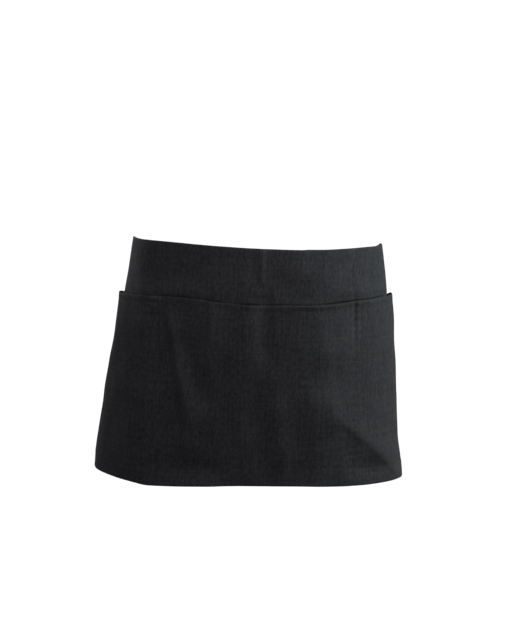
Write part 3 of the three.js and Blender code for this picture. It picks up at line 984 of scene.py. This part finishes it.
# Where the rows run: the stitches of a box that holds a tie, and the ends of the longer rows, which
# stop a little short of the edges, and of the laps and the knot by angles in radians
lap_margin = 0.02
knot_margin = 0.06
edge_shares = (0.09, 0.91)
box_across = (half_width - tie_lap + 2.5, half_width - 5.0)
box_drop = [tie_below_edge + tie_width * share for share in edge_shares]
cross_run = [tie_width * share for share in edge_shares]
full_run = (-side_row, side_row)
band_run = (4.0, mouth_drop - 2.0)
side_run = (4.0, apron_drop - 4.0)
pocket_run = (mouth_drop + 1.0, apron_drop - 2.0)
tail_run = (8.0, tail_length - 2.0)
tie_runs = [(lap_right + lap_margin, knot_turn - knot_margin),
            (-knot_turn + knot_margin, lap_left - lap_margin)]
hem_row = hem_line + 1.5

body_rows = [(*full_run, level_row(body_face, top_row)),
             (*full_run, level_row(body_back, top_row)),
             (*full_run, level_row(body_back, hem_row))]
pocket_rows = [(*full_run, level_row(pocket_face, mouth_row)),
               (*full_run, level_row(pocket_face, hem_line))]
tie_rows = [(start * tie_radius, end * tie_radius, tie_row(share, face))
            for start, end in tie_runs for share in edge_shares for face in (1, -1)]
for side, bottom in zip((-1, 1), side_pocket_bottom):
    box_run = sorted(side * across for across in box_across)
    body_rows += [(*box_run, level_row(body_face, drop)) for drop in box_drop]
    body_rows += [(*box_drop, upright_row(body_face, side * across)) for across in box_across]
    body_rows += [(*band_run, upright_row(body_face, side * side_row)),
                  (*side_run, upright_row(body_back, side * side_row))]
    bottom_run = sorted((side * pocket_seam, side * side_row))
    pocket_rows += [(*bottom_run, level_row(pocket_face, bottom)),
                    (*pocket_run, upright_row(pocket_face, side * pocket_seam)),
                    (*pocket_run, upright_row(pocket_face, side * side_row))]
    tie_rows += [(*cross_run, tie_cross(side * across)) for across in box_across]
    tie_rows += [(*tail_run, tail_row(side, share, face)) for share in edge_shares for face in (1, -1)]
stitch_rows("body_stitching", body_rows)
stitch_rows("pocket_stitching", pocket_rows)
stitch_rows("tie_stitching", tie_rows)


# Studio: a pale floor at standing height below the apron and a white cove all round. A large soft
# light stands high on the right, with weaker ones above, behind and on the left, and a long lens
# looks from a little above the waist, turned by about a degree.
floor_radius = 2.4
floor_level = -1.05
floor_sides = 96
floor_turn = np.linspace(0, 2 * math.pi, floor_sides + 1)[:-1]
floor_points = np.stack([floor_radius * np.cos(floor_turn), floor_radius * np.sin(floor_turn),
                         np.full(floor_sides, floor_level)], axis=-1)
floor_mesh = bpy.data.meshes.new("floor")
floor_mesh.from_pydata(floor_points.tolist(), [], [list(range(floor_sides))])
floor = bpy.data.objects.new("floor", floor_mesh)
bpy.context.collection.objects.link(floor)
floor_paint = bpy.data.materials.new("pale floor")
floor_paint.use_nodes = True
floor_nodes, floor_links = floor_paint.node_tree.nodes, floor_paint.node_tree.links
paint = floor_nodes["Principled BSDF"]
paint.inputs["Base Color"].default_value = (0.9, 0.9, 0.9, 1)
paint.inputs["Roughness"].default_value = 0.9
floor_ray = floor_nodes.new("ShaderNodeLightPath")
glow = floor_nodes.new("ShaderNodeEmission")
glow.inputs["Color"].default_value = (0.5, 0.5, 0.5, 1)
floor_links.new(floor_ray.outputs["Is Camera Ray"], glow.inputs["Strength"])
both = floor_nodes.new("ShaderNodeAddShader")
floor_links.new(paint.outputs[0], both.inputs[0])
floor_links.new(glow.outputs[0], both.inputs[1])
floor_links.new(both.outputs[0], floor_nodes["Material Output"].inputs["Surface"])
floor_mesh.materials.append(floor_paint)

cove = bpy.data.worlds.new("white cove")
bpy.context.scene.world = cove
cove.use_nodes = True
cove_nodes, cove_links = cove.node_tree.nodes, cove.node_tree.links
seen = cove_nodes["Background"]
seen.inputs["Color"].default_value = (1, 1, 1, 1)
seen.inputs["Strength"].default_value = 1.05
felt = cove_nodes.new("ShaderNodeBackground")
felt.inputs["Color"].default_value = (0.97, 0.98, 1, 1)
felt.inputs["Strength"].default_value = 0.28
cove_ray = cove_nodes.new("ShaderNodeLightPath")
choice = cove_nodes.new("ShaderNodeMixShader")
cove_links.new(cove_ray.outputs["Is Camera Ray"], choice.inputs["Fac"])
cove_links.new(felt.outputs[0], choice.inputs[1])
cove_links.new(seen.outputs[0], choice.inputs[2])
cove_links.new(choice.outputs[0], cove_nodes["World Output"].inputs["Surface"])


def standing(place, right, up, back):
    """Matrix of an object at a place, with its own axes along right, up and back."""
    matrix = np.eye(4)
    matrix[:3] = np.stack([right, up, back, place], axis=1)
    return Matrix(matrix.tolist())


def soft_light(name, place, aim, size, power, colour, spread=60):
    """A square soft light at a place, turned towards an aim: metres, watts and degrees."""
    lamp = bpy.data.lights.new(name, "AREA")
    lamp.shape = "SQUARE"
    lamp.size = size
    lamp.energy = power
    lamp.color = colour
    lamp.spread = math.radians(spread)
    light = bpy.data.objects.new(name, lamp)
    back = np.array(place) - np.array(aim)
    back = back / np.linalg.norm(back)
    right = np.cross((0.0, 0.0, 1.0), back)
    right = right / np.linalg.norm(right)
    light.matrix_world = standing(place, right, np.cross(back, right), back)
    bpy.context.collection.objects.link(light)


apron_middle = (0.0, 0.0, -0.15)
band_left = (-0.165, 0.0, 0.06)
soft_light("right", (1.05, 0.0, 0.75), apron_middle, 0.8, 4.65, (0.87, 1.0, 0.965))
soft_light("above", (0.10, -0.50, 0.80), apron_middle, 0.6, 0.9, (1.0, 0.99, 0.98))
soft_light("left behind", (-0.55, 0.75, 0.45), apron_middle, 0.5, 0.40, (1.0, 0.98, 1.0))
soft_light("left edge", (-0.62, 0.50, 0.25), band_left, 0.24, 0.056, (1.0, 1.0, 1.0), spread=7)
soft_light("behind", (0.0, 2.1, 0.42), apron_middle, 1.6, 3.0, (1.0, 1.0, 1.0))

picture_height = 640
pixel_size = 0.00130
sensor_size = 36.0
view_distance = 6.0
view_rise = math.radians(6.0)
view_roll = math.radians(1.1)
view_aim = np.array([0.0088, -0.0103, -0.10195])
lens = bpy.data.cameras.new("long lens")
lens.sensor_width = sensor_size
lens.lens = sensor_size * view_distance / (picture_height * pixel_size)
lens.clip_end = 100.0
camera = bpy.data.objects.new("camera", lens)
bpy.context.collection.objects.link(camera)
view_back = np.array([0.0, -math.cos(view_rise), math.sin(view_rise)])
level = np.array([1.0, 0.0, 0.0])
upright = np.array([0.0, math.sin(view_rise), math.cos(view_rise)])
view_right = level * math.cos(view_roll) + upright * math.sin(view_roll)
view_up = upright * math.cos(view_roll) - level * math.sin(view_roll)
camera.matrix_world = standing(view_aim + view_back * view_distance, view_right, view_up, view_back)
bpy.context.scene.camera = camera
bpy.context.scene.view_settings.view_transform = "Standard"
